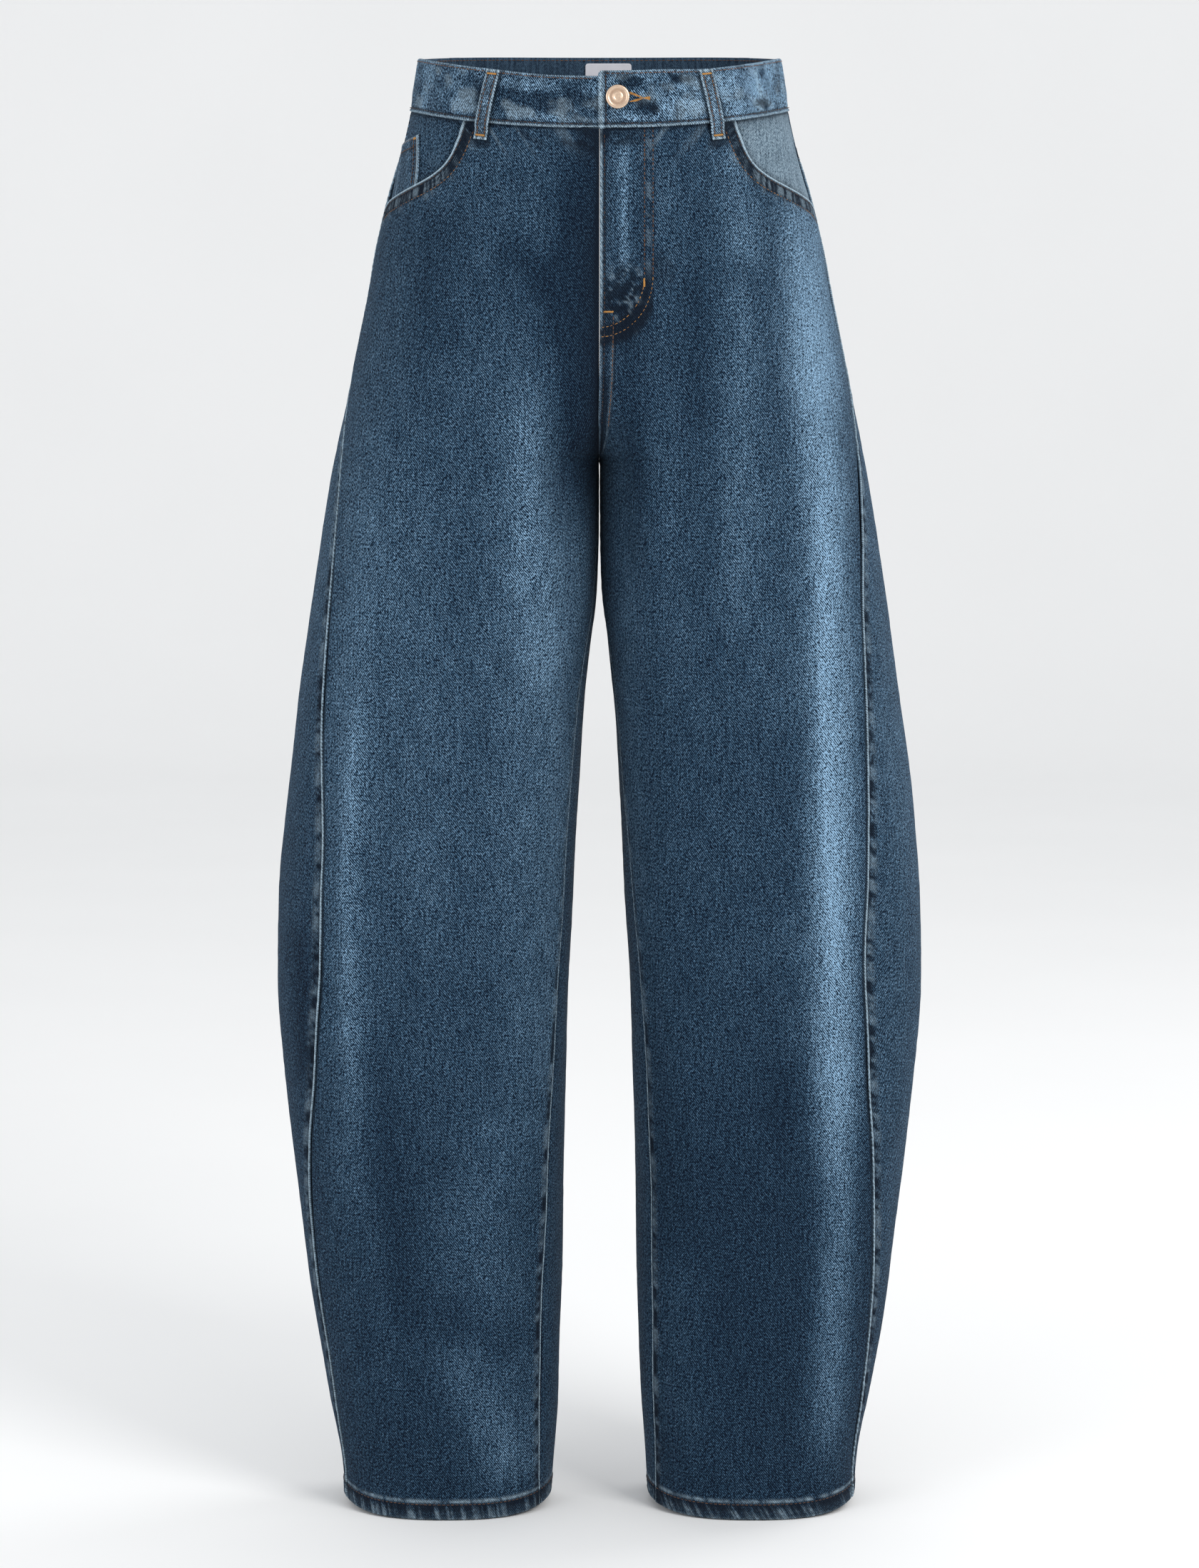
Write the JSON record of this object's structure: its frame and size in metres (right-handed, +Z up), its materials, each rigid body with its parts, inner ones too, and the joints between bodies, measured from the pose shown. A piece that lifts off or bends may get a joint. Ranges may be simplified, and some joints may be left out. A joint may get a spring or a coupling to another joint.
{
  "type": "barrel leg trousers",
  "caption": "Worn-shape denim trousers with curved barrel legs, a curved waistband, front and back pockets, belt loops and a buttoned fly; hollow and open at waist and hems.",
  "frame": {"origin": "centre of the waistband ring at half its height at the sides, where the wearer's waist holds the trousers up", "axes": "+Z up, out of the waist; the front faces -Y; +X is the wearer's left"},
  "size_m": [0.4643, 0.234, 1.0482],
  "materials": {
    "denim_front": "faded blue twill, paler on the thighs and along the side folds",
    "denim_back": "faded blue twill",
    "denim_waist": "faded blue twill with worn, pale edges",
    "denim_facing": "paler blue twill",
    "label_cloth": "plain pale grey woven cloth, blank",
    "button_metal": "warm copper-toned metal, plain rings"
  },
  "bodies": {
    "root": {"front_right": "denim_front", "front_left": "denim_front", "back_right": "denim_back", "back_left": "denim_back", "yoke_right": "denim_back", "yoke_left": "denim_back", "back_pocket_right": "denim_back", "back_pocket_left": "denim_back", "waistband": "denim_waist", "belt_loop_front_right": "denim_waist", "belt_loop_front_left": "denim_waist", "belt_loop_back_right": "denim_waist", "belt_loop_back_left": "denim_waist", "belt_loop_back_middle": "denim_waist", "pocket_facing_right": "denim_facing", "pocket_facing_left": "denim_facing", "coin_pocket": "denim_facing", "fly_facing": "denim_facing", "waist_label": "label_cloth", "button": "button_metal"}
  },
  "joints": []
}
